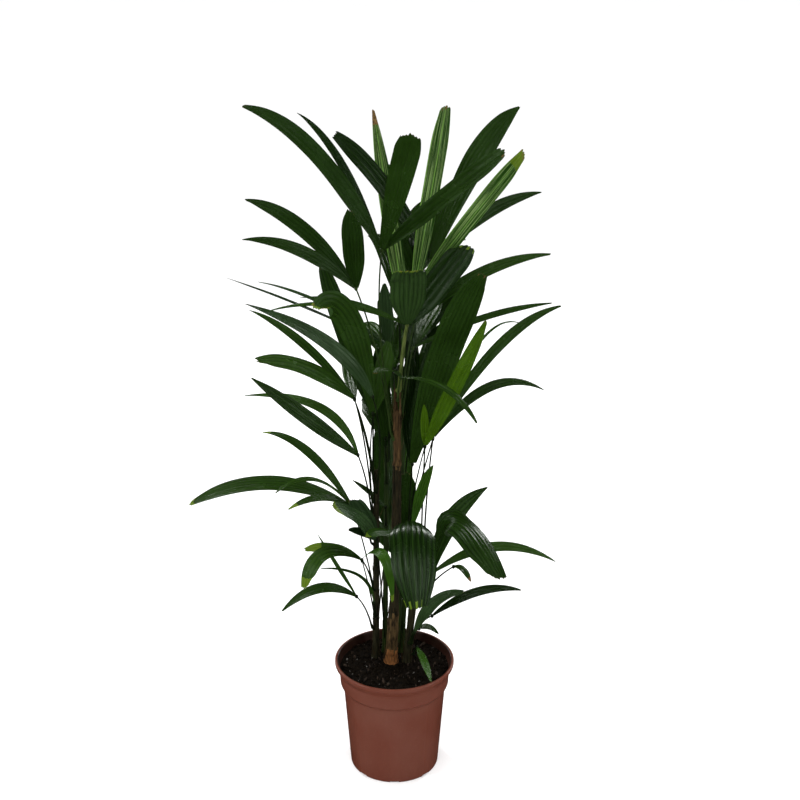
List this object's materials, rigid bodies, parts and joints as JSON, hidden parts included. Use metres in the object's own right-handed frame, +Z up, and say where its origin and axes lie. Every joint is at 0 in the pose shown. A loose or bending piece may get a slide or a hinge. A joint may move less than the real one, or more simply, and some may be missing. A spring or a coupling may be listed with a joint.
{
  "type": "potted lady palm",
  "caption": "Lady palm with slim fibrous canes and fan-shaped fronds on thin stalks, growing from a round plastic nursery pot filled with soil.",
  "frame": {"origin": "middle of the pot's flat underside, at floor level", "axes": "+Z up along the plant, -Y towards the side that the picture shows, +X to its right"},
  "size_m": [0.6189, 0.5666, 1.1547],
  "materials": {
    "pot": "satin red-brown moulded plastic",
    "soil": "dark moist potting mix with bark crumbs",
    "cane": "dark brown fibrous leaf sheaths",
    "foliage_dark": "pleated leaf, satin, dark",
    "foliage_mid": "pleated leaf, satin, mid",
    "foliage_bright": "pleated leaf, satin, bright",
    "foliage_lime": "pleated leaf, satin, lime",
    "foliage_striped": "pleated leaf, satin, striped",
    "foliage_grey": "pleated leaf, satin, grey"
  },
  "bodies": {
    "root": {"pot": "pot", "soil": "soil", "cane_main": "cane", "cane_left": "cane", "cane_right": "cane", "cane_left_inner": "cane", "cane_middle_right": "cane", "cane_back": "cane", "frond_crown_left": "foliage_dark", "frond_crown_right": "foliage_dark", "frond_striped": "foliage_striped", "frond_front": "foliage_mid", "frond_far_right": "foliage_dark", "frond_left_high": "foliage_dark", "frond_threads": "foliage_grey", "frond_folded": "foliage_mid", "frond_split": "foliage_grey", "frond_blunt": "foliage_mid", "frond_middle": "foliage_dark", "frond_left_middle": "foliage_mid", "frond_left_long": "foliage_mid", "frond_left_low": "foliage_grey", "frond_left_droop": "foliage_mid", "frond_left_lowest": "foliage_mid", "frond_thin": "foliage_mid", "frond_great": "foliage_dark", "frond_lime": "foliage_lime", "frond_arching": "foliage_mid", "frond_tassel": "foliage_mid", "frond_apron": "foliage_dark", "frond_wing": "foliage_mid", "frond_bud": "foliage_mid", "frond_right_low": "foliage_grey", "frond_right_lowest": "foliage_dark", "frond_spear": "foliage_bright", "frond_dark_left": "foliage_dark", "frond_dark_right": "foliage_dark", "frond_slip": "foliage_mid", "frond_rim": "foliage_dark", "frond_seedling": "foliage_bright", "frond_small": "foliage_bright", "frond_behind_1": "foliage_dark", "frond_behind_2": "foliage_mid", "frond_behind_3": "foliage_dark", "frond_behind_4": "foliage_mid", "frond_behind_5": "foliage_dark", "frond_behind_6": "foliage_mid", "frond_behind_7": "foliage_dark", "frond_behind_8": "foliage_mid", "frond_behind_9": "foliage_dark", "frond_behind_10": "foliage_mid"}
  },
  "joints": []
}
